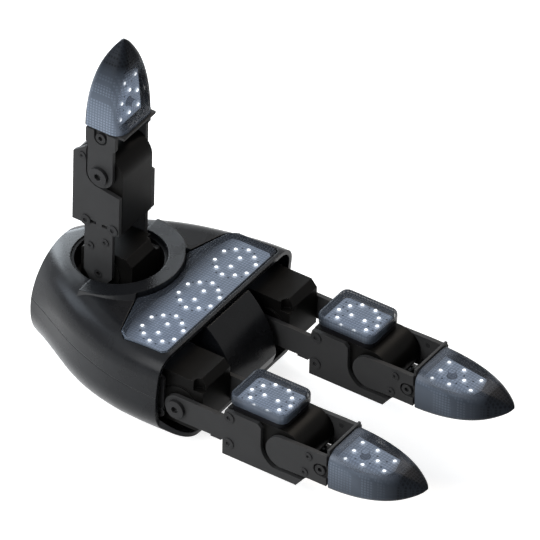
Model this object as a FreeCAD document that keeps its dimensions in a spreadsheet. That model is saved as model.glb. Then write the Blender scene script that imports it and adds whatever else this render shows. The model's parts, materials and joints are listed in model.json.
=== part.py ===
import FreeCAD, Part
import math
import os
import Sketcher

# Two-finger-and-thumb robot hand, millimetres.
# Origin: centre of the wrist flange. +X runs out along the fingers, +Z is the palm side.
# The near finger and the near thumb plate are on the -Y side.

# Driving dimensions. Lengths in millimetres, angles in degrees.
SIZES = {
    # Finger frame: where the joint axes are.
    "finger_spacing": 57.0,
    "finger_axis_x": 77.7,
    "finger_axis_z": 1.6,
    "link_length": 45.8,
    "thumb_axis_x": 23.5,
    "thumb_axis_z": 20.7,
    "hub_x": 25.0,
    # Clearances.
    "seat_gap": 0.3,
    "bore_gap": 0.05,
    # Side plates of every link.
    "plate_inner": 9.9,
    "plate_thick": 1.7,
    "plate_round": 5.3,
    "plate_step_x": 20.2,
    "plate_slope": 0.8,
    "plate_neck": 0.9,
    "plate_top": 8.7,
    "plate_corner": 1.5,
    "plate_bottom": 11.8,
    "socket_radius": 9.1,
    "lip_drop": 8.4,
    "lip_reach": 10.3,
    "lip_chamfer": 3.8,
    "thumb_rear_low": 6.3,
    "thumb_rear_high": 6.0,
    "thumb_bevel_low": 2.6,
    "thumb_bevel_high": 2.0,
    "thumb_slot_near": 1.2,
    "thumb_slot_far": 4.2,
    "thumb_slot_wide": 1.4,
    "thumb_slot_round": 0.6,
    "tie_x": 14.3,
    "tie_long": 4.6,
    "tie_thick": 1.5,
    # Middle motor, which is the drum between the side plates.
    "drum_radius": 8.8,
    "drum_half_width": 9.6,
    "motor_back": 19.2,
    "motor_step_x": 20.9,
    "motor_step_z": 5.0,
    # Fasteners.
    "bolt_head_radius": 3.7,
    "bolt_head_height": 1.6,
    "bolt_radius": 2.0,
    "bolt_depth": 4.0,
    "bolt_socket": 1.5,
    "screw_head_radius": 2.2,
    "screw_head_height": 0.5,
    "screw_edge": 2.6,
    "screw_radius": 1.1,
    "screw_socket": 1.0,
    "small_head_radius": 1.6,
    "small_socket": 0.7,
    # Finger pad.
    "pad_length": 24.5,
    "pad_half_width": 9.9,
    "pad_corner": 3.2,
    "pad_front_gap": 0.2,
    "pad_base_inset": 0.5,
    "pad_base_high": 2.3,
    "pad_cover_high": 4.6,
    "pad_edge": 1.5,
    "pad_wall": 1.2,
    "pad_board_thick": 1.0,
    "pad_board_margin": 1.6,
    "led_size": 1.2,
    "led_high": 0.5,
    # Yoke that carries the fingertip.
    "arm_round": 6.8,
    "arm_top": 7.2,
    "arm_bottom": 6.3,
    "thumb_arm_half": 5.5,
    "thumb_lobe_half": 6.5,
    "arm_reach": 19.6,
    "lobe_lead": 0.5,
    "lobe_slope": 1.0,
    "crossbar_back": 19.0,
    "crossbar_thick": 1.0,
    "crossbar_top": 9.5,
    "notch_radius": 2.8,
    "notch_web": 0.4,
    "tip_bolt_x": 16.8,
    "tip_bolt_head": 2.1,
    # Fingertip.
    "tip_base_x": 20.3,
    "tip_length": 35.9,
    "tip_half_width": 11.4,
    "tip_top": 8.8,
    "tip_bottom": 7.6,
    "tip_apex_z": 1.8,
    "tip_top_corner": 5.0,
    "tip_bottom_corner": 1.5,
    "tip_corner_growth": 3.0,
    "tip_power": 2.65,
    "tip_point": 0.75,
    "tip_wall": 1.5,
    "tip_board_z": 4.3,
    "tip_board_thick": 1.0,
    "tip_board_length": 21.5,
    "tip_board_half": 8.3,
    "tip_board_end_half": 5.6,
    "tip_board_bevel": 1.5,
    "tip_heart_corner": 1.2,
    "tip_rib_margin": 1.0,
    "tip_back_thick": 1.0,
    "tip_back_long": 14.0,
    "tip_peg_radius": 1.6,
    "tip_peg_x": 8.6,
    "tip_peg_high": 2.4,
    # Palm shell.
    "palm_wall": 1.8,
    "palm_seam_z": 5.0,
    "palm_seam_gap": 0.15,
    "mouth_top_x": 72.3,
    "mouth_side_x": 70.9,
    "mouth_low_z": 6.3,
    "lip_x": 80.0,
    "lip_low_z": 12.0,
    "lip_half": 29.0,
    "lip_corner_y": 41.0,
    "lip_corner_radius": 12.5,
    "collar_top_z": 22.9,
    "collar_tilt": 2.9,
    "collar_radius": 25.7,
    "collar_rear_x": 24.5,
    "hub_opening": 18.0,
    "hub_ring_wall": 1.3,
    "hub_ring_bottom": 9.0,
    "hub_flange_wide": 1.6,
    "hub_flange_thick": 1.5,
    "hub_ring_drop": 1.6,
    # Palm pad.
    "palm_pad_front": 70.4,
    "palm_pad_half": 37.2,
    "palm_pad_notch_x": 43.6,
    "palm_pad_notch_y": 15.9,
    "palm_pad_rear_x": 49.5,
    "palm_pad_rear_y": 35.0,
    "palm_pad_top": 21.9,
    "palm_pad_seat": 18.6,
    "palm_pad_gap": 0.3,
    "palm_led_x": 60.2,
    "palm_led_pitch": 23.7,
    # Wrist flange.
    "flange_thick": 5.0,
    "flange_bore": 5.0,
    "bolt_circle": 32.0,
    "mount_hole": 1.65,
    # Chassis and boards in the palm.
    "chassis_top": -9.5,
    "chassis_thick": 2.5,
    "chassis_half": 14.0,
    "wall_x": 62.0,
    "wall_thick": 2.5,
    "wall_margin": 1.5,
    "wall_bottom": -8.0,
    "wall_top": 13.0,
    "crest_half": 34.0,
    # Base motors.
    "motor_half": 9.0,
    "motor_sleeve": 0.6,
    "motor_front": 9.4,
    "motor_high": 13.1,
    "motor_low": 9.2,
    "motor_bevel_along": 2.5,
    "motor_bevel_up": 2.9,
    "sleeve_radius": 8.0,
    "recess_radius": 2.3,
    "recess_back": 1.9,
    "recess_inset": 0.9,
    "recess_depth": 4.1,
    # Brackets beside the base motors.
    "cheek_thick": 1.2,
    "cheek_front": 71.6,
    "cheek_low": 8.0,
    "cheek_high": 11.5,
    "cheek_bevel": 1.5,
    "cheek_screw_x": 70.0,
    "cheek_screw_z": 5.2,
    # Turntable under the thumb.
    "turntable_radius": 16.0,
    "turntable_bottom": 10.0,
    "turntable_thick": 2.5,
    "pivot_radius": 4.0,
    "pivot_depth": 5.0,
    # Swivel motor.
    "swivel_half_length": 14.0,
    "swivel_half_width": 13.0,
    "swivel_top": 9.0,
    # Control board.
    "control_rear_gap": 3.0,
    "control_front_gap": 2.0,
    "control_side_gap": 1.0,
    "control_post_radius": 1.6,
    "control_post_high": 2.0,
    "control_thick": 1.6,
    "chip_half": 4.0,
    "chip_high": 1.2,
    "plug_long": 4.0,
    "plug_half": 9.0,
    "plug_high": 4.0,
    # Front panel between the finger bays.
    "panel_half": 13.5,
    "panel_wall": 1.8,
    "panel_top": 19.4,
    "panel_top_x": 72.8,
    "panel_dip_long": 2.6,
    "panel_nose_x": 85.4,
    "panel_nose_z": 4.6,
    "panel_foot_x": 84.0,
    "panel_bottom": 9.0,
    "panel_radius": 34.0,
}

# Palm cross sections: distance from the wrist, half width, top, bottom, top corner, bottom corner.
# From the fourth section on, the half width is a margin outside the fingers' centre lines.
PALM_STATIONS = (
    (0.0, 20.8, 20.8, 20.8, 20.3, 20.3),
    (7.0, 24.1, 21.7, 20.6, 15.5, 19.6),
    (14.0, 27.8, 22.3, 20.9, 13.0, 19.4),
    (25.0, 5.1, 22.7, 20.8, 12.0, 18.4),
    (37.0, 10.0, 22.5, 19.8, 11.5, 17.4),
    (50.0, 13.6, 21.9, 18.2, 10.5, 16.4),
    (61.0, 15.1, 21.7, 17.2, 9.0, 16.0),
    (72.0, 15.5, 21.6, 16.7, 8.0, 16.0),
    (82.0, 15.1, 21.5, 16.6, 8.0, 16.0),
)
STATION_LETTERS = "abcdefghi"
WRIST_LETTERS = "abc"
STATION_WORDS = ("at", "half", "top", "bottom", "top_corner", "bottom_corner")
for number, station in enumerate(PALM_STATIONS):
    for word, size in zip(STATION_WORDS, station):
        SIZES[f"palm_{word}_{STATION_LETTERS[number]}"] = size

# Places of the lamps on a sensing board, from the middle of their group.
PAD_LAMPS = ((2.9, 7.2), (6.3, 4.2), (8.4, 0.0), (2.9, 0.0))
PALM_LAMPS = ((0.0, 8.7), (4.1, 6.4), (7.0, 3.0), (0.0, 3.0))
TIP_LAMPS = ((3.6, 0.0), (3.6, 5.7), (10.6, 5.0), (13.9, 0.0), (19.1, 3.5))

# Places of the small screws (x, z), in the frames of the finger tip and of the thumb link.
YOKE_SCREWS = ((11.8, 4.2), (10.1, -3.7))
THUMB_SCREWS = ((15.9, 2.8), (12.0, -3.6), (51.8, -7.8))

doc = FreeCAD.newDocument("robot_hand")
sheet = doc.addObject("Spreadsheet::Sheet", "sizes")
for row, (alias, number) in enumerate(SIZES.items(), start=1):
    sheet.set(f"A{row}", alias)
    sheet.set(f"B{row}", str(number))
    sheet.setAlias(f"B{row}", alias)
doc.recompute()


class Dim:
    """A size as a formula over the sheet, with the number that the formula gives now."""

    def __init__(self, text, number):
        self.text = text
        self.number = number

    def join(self, sign, other, number):
        return Dim(f"({self.text} {sign} {other.text})", number)

    def __add__(self, other):
        other = dim(other)
        return self.join("+", other, self.number + other.number)

    def __radd__(self, other):
        return dim(other) + self

    def __sub__(self, other):
        other = dim(other)
        return self.join("-", other, self.number - other.number)

    def __rsub__(self, other):
        return dim(other) - self

    def __mul__(self, other):
        other = dim(other)
        return self.join("*", other, self.number * other.number)

    def __rmul__(self, other):
        return dim(other) * self

    def __truediv__(self, other):
        other = dim(other)
        return self.join("/", other, self.number / other.number)

    def __rtruediv__(self, other):
        return dim(other) / self

    def __neg__(self):
        return dim(0) - self


def dim(size):
    return size if isinstance(size, Dim) else Dim(repr(float(size)), float(size))


def root(size):
    return Dim(f"sqrt({size.text})", math.sqrt(size.number))


def power(size, exponent):
    return Dim(f"pow({size.text}; {exponent.text})", size.number ** exponent.number)


def tangent(angle):
    return Dim(f"tan({angle.text} * 1deg)", math.tan(math.radians(angle.number)))


class Sizes:
    """The sheet's sizes by name, such as s.plate_inner."""

    def __getattr__(self, alias):
        return Dim(f"sizes.{alias}", float(sheet.get(alias)))


s = Sizes()
ZERO = dim(0)
HALF = 0.5
TINY = 0.01
REACH = 100.0
COLLAR_ROOT = 4.0
nodes = []


def bind(obj, prop, size):
    obj.setExpression(prop, dim(size).text)


def move(obj, x=0, y=0, z=0):
    for letter, size in (("x", x), ("y", y), ("z", z)):
        bind(obj, f"Placement.Base.{letter}", size)
    return obj


def publish(obj, node, frame=(0, 0, 0), rotation=None):
    """Name a sub-part and put its own frame at its place in the hand."""
    obj.Label = node
    if rotation is not None:
        obj.Placement = FreeCAD.Placement(FreeCAD.Vector(), rotation)
    move(obj, *frame)
    nodes.append(obj)
    return obj


# Primitives with bound sizes

def box(name, span_x, span_y, span_z):
    obj = doc.addObject("Part::Box", name)
    for prop, (low, high) in (("Length", span_x), ("Width", span_y), ("Height", span_z)):
        bind(obj, prop, dim(high) - dim(low))
    return move(obj, span_x[0], span_y[0], span_z[0])


AXIS_TURNS = {
    "X": FreeCAD.Rotation(FreeCAD.Vector(0, 1, 0), 90),
    "Y": FreeCAD.Rotation(FreeCAD.Vector(1, 0, 0), -90),
    "Z": FreeCAD.Rotation(),
}


def along(axis, low, across):
    """The corner from which a round piece starts: low along its axis, across the other two."""
    spots = {"X": (low, across[0], across[1]), "Y": (across[0], low, across[1])}
    return spots.get(axis, (across[0], across[1], low))


def cylinder(name, axis, radius, low, high, across=(0, 0)):
    obj = doc.addObject("Part::Cylinder", name)
    bind(obj, "Radius", radius)
    bind(obj, "Height", dim(high) - dim(low))
    obj.Placement = FreeCAD.Placement(FreeCAD.Vector(), AXIS_TURNS[axis])
    return move(obj, *along(axis, low, across))


def hexagon(name, axis, radius, low, high, across=(0, 0)):
    obj = doc.addObject("Part::Prism", name)
    obj.Polygon = 6
    bind(obj, "Circumradius", radius)
    bind(obj, "Height", dim(high) - dim(low))
    obj.Placement = FreeCAD.Placement(FreeCAD.Vector(), AXIS_TURNS[axis])
    return move(obj, *along(axis, low, across))


def fuse(name, *shapes):
    obj = doc.addObject("Part::MultiFuse", name)
    obj.Shapes = list(shapes)
    obj.Refine = True
    return obj


def group(name, *shapes):
    """Separate solids that share one node."""
    obj = doc.addObject("Part::Compound", name)
    obj.Links = list(shapes)
    return obj


def cut(name, base, *tools):
    obj = doc.addObject("Part::Cut", name)
    obj.Base = base
    obj.Tool = tools[0] if len(tools) == 1 else fuse(name + "_tools", *tools)
    obj.Refine = True
    return obj


def common(name, first, second):
    obj = doc.addObject("Part::Common", name)
    obj.Base = first
    obj.Tool = second
    return obj


# Bodies made from constrained outlines

def new_body(name):
    return doc.addObject("PartDesign::Body", name)


def plane_of(body, role):
    return next(item for item in body.Origin.OriginFeatures if item.Role == role)


def arc_centre(start, end, radius, left):
    """Centre of the shorter arc from start to end, on the left or right of the way."""
    middle = [(a + b) * HALF for a, b in zip(start, end)]
    step = [b - a for a, b in zip(start, end)]
    chord = math.hypot(*step)
    height = math.sqrt(max(radius ** 2 - (chord * HALF) ** 2, 0.0))
    side = 1.0 if left else -1.0
    return FreeCAD.Vector(
        middle[0] - side * step[1] / chord * height,
        middle[1] + side * step[0] / chord * height,
        0,
    )


def pin_point(sketch, geometry, position, point):
    """Hold a point of the sketch at its two distances from the origin."""
    for kind, size in zip(("DistanceX", "DistanceY"), point):
        size = dim(size)
        index = sketch.addConstraint(
            Sketcher.Constraint(kind, -1, 1, geometry, position, size.number)
        )
        bind(sketch, f"Constraints[{index}]", size)


def bind_radius(sketch, geometry, radius):
    index = sketch.addConstraint(Sketcher.Constraint("Radius", geometry, dim(radius).number))
    bind(sketch, f"Constraints[{index}]", radius)


def draw_loop(sketch, path):
    """Draw a closed outline. A point is (u, v), or (u, v, radius, side) where an arc leaves it."""
    first = sketch.GeometryCount
    ends = []
    for number, point in enumerate(path):
        follower = path[(number + 1) % len(path)]
        start = (dim(point[0]).number, dim(point[1]).number)
        end = (dim(follower[0]).number, dim(follower[1]).number)
        if len(point) == 2:
            line = Part.LineSegment(FreeCAD.Vector(*start, 0), FreeCAD.Vector(*end, 0))
            sketch.addGeometry(line, False)
            ends.append((1, 2))
            continue
        radius = dim(point[2]).number
        left = point[3] == "left"
        centre = arc_centre(start, end, radius, left)
        angles = [math.atan2(p[1] - centre.y, p[0] - centre.x) for p in (start, end)]
        if not left:
            angles.reverse()
        circle = Part.Circle(centre, FreeCAD.Vector(0, 0, 1), radius)
        sketch.addGeometry(Part.ArcOfCircle(circle, *angles), False)
        ends.append((1, 2) if left else (2, 1))
    count = len(path)
    for number, point in enumerate(path):
        geometry = first + number
        following = first + (number + 1) % count
        joint = (geometry, ends[number][1], following, ends[(number + 1) % count][0])
        sketch.addConstraint(Sketcher.Constraint("Coincident", *joint))
        pin_point(sketch, geometry, ends[number][0], point[:2])
        if len(point) > 2:
            bind_radius(sketch, geometry, point[2])


def draw_circle(sketch, u, v, radius):
    centre = FreeCAD.Vector(dim(u).number, dim(v).number, 0)
    sketch.addGeometry(Part.Circle(centre, FreeCAD.Vector(0, 0, 1), dim(radius).number), False)
    geometry = sketch.GeometryCount - 1
    pin_point(sketch, geometry, 3, (u, v))
    bind_radius(sketch, geometry, radius)


def new_sketch(body, name, role, offset):
    sketch = body.newObject("Sketcher::SketchObject", name)
    sketch.AttachmentSupport = [(plane_of(body, role), "")]
    sketch.MapMode = "FlatFace"
    bind(sketch, "AttachmentOffset.Base.z", offset)
    return sketch


def pad(body, name, role, low, high, path, holes=(), slots=()):
    """Extrude an outline from low to high along +X, +Y or +Z, whichever crosses its plane."""
    offset = -dim(high) if role == "XZ_Plane" else low
    sketch = new_sketch(body, name + "_outline", role, offset)
    draw_loop(sketch, path)
    for hole in holes:
        draw_circle(sketch, *hole)
    for slot in slots:
        draw_loop(sketch, slot)
    feature = body.newObject("PartDesign::Pad", name)
    feature.Profile = sketch
    bind(feature, "Length", dim(high) - dim(low))
    return feature


def pocket(body, name, role, low, high, path=None, holes=()):
    """Cut an outline or round holes from low to high."""
    offset = -dim(low) if role == "XZ_Plane" else high
    sketch = new_sketch(body, name + "_outline", role, offset)
    if path:
        draw_loop(sketch, path)
    for hole in holes:
        draw_circle(sketch, *hole)
    feature = body.newObject("PartDesign::Pocket", name)
    feature.Profile = sketch
    bind(feature, "Length", dim(high) - dim(low))
    return feature


def round_edges(body, name, base, radius, wanted, kind="Fillet"):
    """Round or bevel the edges of base for which wanted(edge) holds."""
    doc.recompute()
    names = [f"Edge{n}" for n, edge in enumerate(base.Shape.Edges, start=1) if wanted(edge)]
    feature = body.newObject(f"PartDesign::{kind}", name)
    feature.Base = (base, names)
    bind(feature, "Radius" if kind == "Fillet" else "Size", radius)
    return feature


def at_height(level):
    """Edges that lie flat at one height."""
    def wanted(edge):
        limits = edge.BoundBox
        return abs(limits.ZMin - level) < TINY and abs(limits.ZMax - level) < TINY
    return wanted


def rectangle(low_u, high_u, low_v, high_v):
    return [(low_u, low_v), (high_u, low_v), (high_u, high_v), (low_u, high_v)]


def rounded_rectangle(low_u, high_u, low_v, high_v, corner):
    return [
        (low_u + corner, low_v), (high_u - corner, low_v, corner, "left"),
        (high_u, low_v + corner), (high_u, high_v - corner, corner, "left"),
        (high_u - corner, high_v), (low_u + corner, high_v, corner, "left"),
        (low_u, high_v - corner), (low_u, low_v + corner, corner, "left"),
    ]


def section_path(half, top, bottom, top_corner, bottom_corner):
    """Rounded section with its own corner radii above and below."""
    return [
        (-half + bottom_corner, -bottom),
        (half - bottom_corner, -bottom, bottom_corner, "left"),
        (half, -bottom + bottom_corner),
        (half, top - top_corner, top_corner, "left"),
        (half - top_corner, top),
        (-half + top_corner, top, top_corner, "left"),
        (-half, top - top_corner),
        (-half, -bottom + bottom_corner, bottom_corner, "left"),
    ]


def loft(body, name, kind, sections):
    """Loft through (offset, path) sections that stand across X."""
    sketches = []
    for number, (offset, path) in enumerate(sections):
        sketch = new_sketch(body, f"{name}_{number}", "YZ_Plane", offset)
        draw_loop(sketch, path)
        sketches.append(sketch)
    feature = body.newObject(f"PartDesign::{kind}", name)
    feature.Profile = sketches[0]
    feature.Sections = sketches[1:]
    return feature


# Fasteners, each with its head towards one end of the Y axis

def fastener(name, side, face, spot, head, head_high, shank, depth, socket):
    """Socket screw seated on the face at y = side * face, over the spot (x, z)."""
    outer = face + head_high
    spans = {
        "head": (face, outer), "shank": (face - depth, face + TINY),
        "socket": (outer - head_high, outer),
    }
    if side < 0:
        spans = {key: (-high, -low) for key, (low, high) in spans.items()}
    body = fuse(
        name + "_body",
        cylinder(name + "_head", "Y", head, *spans["head"], spot),
        cylinder(name + "_shank", "Y", shank, *spans["shank"], spot),
    )
    return cut(name, body, hexagon(name + "_socket", "Y", socket, *spans["socket"], spot))


def bolt(name, side, spot):
    face = s.plate_inner + s.plate_thick
    depth = s.plate_thick + s.bolt_depth
    return fastener(
        name, side, face, spot, s.bolt_head_radius, s.bolt_head_height, s.bolt_radius, depth,
        s.bolt_socket,
    )


def flush_pin(name, side, spot):
    """Pivot pin that ends flush with the plate's outer face."""
    return fastener(
        name, side, s.plate_inner, spot, s.bolt_radius, s.plate_thick, s.bolt_radius, s.bolt_depth,
        s.screw_socket,
    )


def screw(name, side, spot):
    face = s.plate_inner + s.plate_thick
    return fastener(
        name, side, face, spot, s.screw_head_radius, s.screw_head_height, s.screw_radius,
        s.plate_thick, s.screw_socket,
    )


def small_screw(name, side, spot):
    face = s.plate_inner + s.plate_thick
    return fastener(
        name, side, face, spot, s.small_head_radius, s.screw_head_height, s.screw_radius,
        s.plate_thick, s.small_socket,
    )


# Link between the base joint and the middle joint, in the link's frame:
# origin on the base axis, x along the link, z towards the palm side.

def plate_spans():
    inner = s.plate_inner
    outer = s.plate_inner + s.plate_thick
    return {"near": (-outer, -inner), "far": (inner, outer)}


def finger_plate_path():
    """Side outline of a finger plate, from its round rear end to the lip under the drum."""
    middle = s.link_length
    front = s.plate_step_x + s.plate_slope
    socket_x = root(s.socket_radius * s.socket_radius - s.lip_drop * s.lip_drop)
    return [
        (ZERO, -s.plate_round),
        (front - s.plate_neck, -s.plate_round),
        (front - s.plate_neck, -s.plate_bottom),
        (middle + s.lip_reach - s.lip_chamfer, -s.plate_bottom),
        (middle + s.lip_reach, -s.lip_drop + s.plate_corner),
        (middle + s.lip_reach - s.plate_corner, -s.lip_drop),
        (middle - socket_x, -s.lip_drop, s.socket_radius, "right"),
        (middle - s.socket_radius, ZERO),
        (middle - s.socket_radius, s.plate_top - s.plate_corner),
        (middle - s.socket_radius - s.plate_corner, s.plate_top),
        (front, s.plate_top),
        (s.plate_step_x, s.plate_round),
        (ZERO, s.plate_round, s.plate_round, "left"),
        (-s.plate_round, ZERO, s.plate_round, "left"),
    ]


def thumb_plate_path():
    """Side outline of a thumb plate, which is full height and hugs the narrow yoke arm."""
    middle = s.link_length
    front = s.plate_step_x + s.plate_slope
    hug = s.thumb_arm_half + 2 * s.seat_gap
    return [
        (ZERO, -s.thumb_rear_low),
        (front, -s.thumb_rear_low),
        (front, -s.plate_bottom),
        (middle + s.lip_reach - s.lip_chamfer, -s.plate_bottom),
        (middle + s.lip_reach, -s.lip_drop + s.plate_corner),
        (middle + s.lip_reach, -hug),
        (middle, -hug, hug, "right"),
        (middle - hug, ZERO),
        (middle - hug - s.plate_corner, s.plate_top),
        (front, s.plate_top),
        (front, s.thumb_rear_high),
        (ZERO, s.thumb_rear_high),
        (-s.plate_round, s.thumb_bevel_high),
        (-s.plate_round, -s.thumb_bevel_low),
    ]


def thumb_slots():
    """Two short slots between the screws at the front end of a thumb plate."""
    middle = s.plate_step_x + s.plate_slope + s.screw_head_radius - s.seat_gap
    low = middle - s.thumb_slot_wide * HALF
    high = middle + s.thumb_slot_wide * HALF
    near, far = s.thumb_slot_near, s.thumb_slot_far
    spans = ((-far, -near), (near, far))
    return [rounded_rectangle(low, high, *span, s.thumb_slot_round) for span in spans]


def link_plate(name, side, path, screw_spots, slots):
    body = new_body(name)
    low, high = plate_spans()[side]
    holes = [(ZERO, ZERO, s.bolt_radius)]
    holes += [(x, z, s.screw_radius) for x, z in screw_spots]
    pad(body, name + "_pad", "XZ_Plane", low, high, path, holes, slots)
    return body


def middle_motor(name):
    """Drum-fronted motor, seated between the plates by its side bosses."""
    middle = s.link_length
    body = new_body(name + "_housing")
    radius = s.drum_radius
    path = [
        (s.motor_back + s.plate_corner, -radius),
        (middle, -radius, radius, "left"),
        (middle + radius, ZERO, radius, "left"),
        (middle, radius),
        (s.motor_step_x, radius),
        (s.motor_step_x, s.motor_step_z),
        (s.motor_back, s.motor_step_z),
        (s.motor_back, -radius + s.plate_corner),
    ]
    half = s.drum_half_width
    pad(body, name + "_pad", "XZ_Plane", -half, half, path)
    front = middle - s.socket_radius
    seats = box(
        name + "_seats", (s.motor_step_x, front),
        (-s.plate_inner, s.plate_inner), (-s.plate_round, s.plate_top - s.plate_corner),
    )
    solid = fuse(name + "_solid", body, seats)
    bores = []
    depths = {"near": (-half - TINY, s.bolt_depth - half), "far": (half - s.bolt_depth, half + TINY)}
    for word, (low, high) in depths.items():
        bores.append(cylinder(
            f"{name}_{word}_bore", "Y", s.bolt_radius + s.bore_gap, low, high, (middle, ZERO)
        ))
    return cut(name, solid, *bores)


def link_screw_spots():
    front = s.plate_step_x + s.plate_slope
    upper = (front + s.screw_head_radius - s.seat_gap, s.plate_top - s.screw_edge)
    lower = (front + s.screw_head_radius - s.seat_gap, -s.plate_round - s.screw_head_height)
    return upper, lower


# Finger pad on the palm side of a link

def pad_span():
    front = s.link_length - s.pad_front_gap
    return front - s.pad_length, front


def pad_base(name):
    body = new_body(name)
    rear, front = pad_span()
    inset = s.pad_base_inset
    path = rounded_rectangle(
        rear + inset, front - inset, -s.pad_half_width + inset, s.pad_half_width - inset, s.pad_corner
    )
    low = s.drum_radius
    pad(body, name + "_pad", "XY_Plane", low, low + s.pad_base_high, path)
    return body


def pad_cover(name):
    """Clear cover with rounded edges, hollow underneath."""
    body = new_body(name)
    rear, front = pad_span()
    half = s.pad_half_width
    low = s.drum_radius + s.pad_base_high
    high = low + s.pad_cover_high
    outer = pad(
        body, name + "_pad", "XY_Plane", low, high,
        rounded_rectangle(rear, front, -half, half, s.pad_corner),
    )
    round_edges(body, name + "_round", outer, s.pad_edge, at_height(high.number))
    wall = s.pad_wall
    inner = rounded_rectangle(
        rear + wall, front - wall, -half + wall, half - wall, s.pad_corner - wall
    )
    pocket(body, name + "_hollow", "XY_Plane", low, high - wall, inner)
    return body


def lamp_boxes(name, spots, level, centre=(0, 0)):
    """Square lamps on a board, at both signs of every spot's distances."""
    places = sorted({(a * u, b * v) for u, v in spots for a in (1, -1) for b in (1, -1)})
    half = s.led_size * HALF
    lamps = []
    for number, (u, v) in enumerate(places):
        x = centre[0] + u
        y = centre[1] + v
        lamps.append(box(
            f"{name}_lamp_{number}", (x - half, x + half), (y - half, y + half),
            (level, level + s.led_high),
        ))
    return lamps


def pad_board(name):
    rear, front = pad_span()
    margin = s.pad_board_margin
    level = s.drum_radius + s.pad_base_high
    board = new_body(name + "_sheet")
    path = rounded_rectangle(
        rear + margin, front - margin, -s.pad_half_width + margin, s.pad_half_width - margin,
        s.pad_corner - s.pad_wall,
    )
    top = level + s.pad_board_thick
    pad(board, name + "_pad", "XY_Plane", level, top, path)
    middle = (rear + front) * HALF
    return fuse(name, board, *lamp_boxes(name, PAD_LAMPS, top, (middle, ZERO)))


# Fingertip, in the tip's frame: origin on the middle axis, x out to the apex

def taper(fraction):
    """Share of the base size that is left at this fraction of the tip's length."""
    return power(dim(1) - power(dim(fraction), s.tip_power), s.tip_point)


TIP_FRACTIONS = (0.0, 0.28, 0.56, 0.78, 0.92, 0.985, 0.999)


def tip_sections(inset):
    """Sections of the tip, shrunk by inset on every side."""
    length = s.tip_length - inset
    sections = []
    for fraction in TIP_FRACTIONS:
        share = taper(fraction)
        half = (s.tip_half_width - inset) * share
        top = s.tip_apex_z + (s.tip_top - inset - s.tip_apex_z) * share
        bottom = -s.tip_apex_z + (s.tip_bottom - inset + s.tip_apex_z) * share
        growth = s.tip_corner_growth * fraction
        top_corner = (s.tip_top_corner + growth) * share
        bottom_corner = (s.tip_bottom_corner + growth) * share
        offset = s.tip_base_x + length * fraction
        sections.append((offset, section_path(half, top, bottom, top_corner, bottom_corner)))
    return sections


def tip_form(name, inset):
    body = new_body(name)
    loft(body, name + "_loft", "AdditiveLoft", tip_sections(inset))
    return body


def rib_box(name, low, gap):
    """Rib between the back plate and the board, or with a gap the slot that clears it."""
    half = s.tip_board_end_half - s.tip_rib_margin + gap
    end = s.tip_base_x + s.tip_back_long - s.tip_rib_margin + gap
    return box(name, (s.tip_base_x, end), (-half, half), (low, ZERO))


def tip_back_box(name, top):
    """Space of the flat back plate of the tip, up to its inner face."""
    far = s.tip_base_x + s.tip_back_long
    half = s.tip_half_width + s.tip_wall
    return box(name, (0, far), (-half, half), (-s.tip_bottom - s.tip_wall, top))


def tip_cover(name):
    """Clear pointed cover, open at its base and over its back plate and rib."""
    outer = tip_form(name + "_outer", ZERO)
    inner = tip_form(name + "_inner", s.tip_wall)
    back = -s.tip_bottom + s.tip_back_thick
    below = tip_back_box(name + "_back_space", back)
    slot = rib_box(name + "_rib_space", back - TINY, s.seat_gap)
    return cut(name, outer, inner, below, slot)


def tip_heart(name):
    """Pointed dark block that fills the cover under the board."""
    body = new_body(name)
    inset = s.tip_wall + s.seat_gap
    under = s.tip_board_z - s.tip_board_thick - s.bore_gap
    sections = []
    for fraction in TIP_FRACTIONS[:-1]:
        share = taper(fraction)
        half = (s.tip_half_width - inset) * share
        top = s.tip_apex_z + (under - s.tip_apex_z) * share
        bottom = -s.tip_apex_z + (s.tip_bottom - inset + s.tip_apex_z) * share
        corner = s.tip_heart_corner * share
        offset = s.tip_base_x + (s.tip_length - inset) * fraction
        lower_corner = (s.tip_bottom_corner + s.tip_corner_growth * fraction) * share
        sections.append((offset, section_path(half, top, bottom, corner, lower_corner)))
    loft(body, name + "_loft", "AdditiveLoft", sections)
    return body


def tip_core(name):
    """Thin back plate of the tip, with the block that carries the board and the rib between them."""
    form = tip_form(name + "_form", ZERO)
    back = -s.tip_bottom + s.tip_back_thick
    plate = common(name + "_back", form, tip_back_box(name + "_slab", back))
    rib = rib_box(name + "_rib", back - s.tip_back_thick * HALF, ZERO)
    return fuse(name, plate, rib, tip_heart(name + "_heart"))


def tip_board(name):
    board = new_body(name + "_sheet")
    base = s.tip_base_x
    end = base + s.tip_board_length
    bevel = end - s.tip_board_bevel
    top = s.tip_board_z
    path = [
        (base + s.seat_gap, -s.tip_board_half), (bevel, -s.tip_board_end_half), (end, ZERO),
        (bevel, s.tip_board_end_half), (base + s.seat_gap, s.tip_board_half),
    ]
    pad(board, name + "_pad", "XY_Plane", top - s.tip_board_thick, top, path)
    half = s.led_size * HALF
    lamps = []
    spots = sorted({(d, sign * y) for d, y in TIP_LAMPS for sign in (1, -1)})
    for number, (distance, y) in enumerate(spots):
        x = base + distance
        lamps.append(box(
            f"{name}_lamp_{number}", (x - half, x + half), (y - half, y + half),
            (top, top + s.led_high),
        ))
    peg_spot = (base + s.tip_peg_x, ZERO)
    peg = cylinder(name + "_peg", "Z", s.tip_peg_radius, top, top + s.tip_peg_high, peg_spot)
    return fuse(name, board, peg, *lamps)


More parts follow.
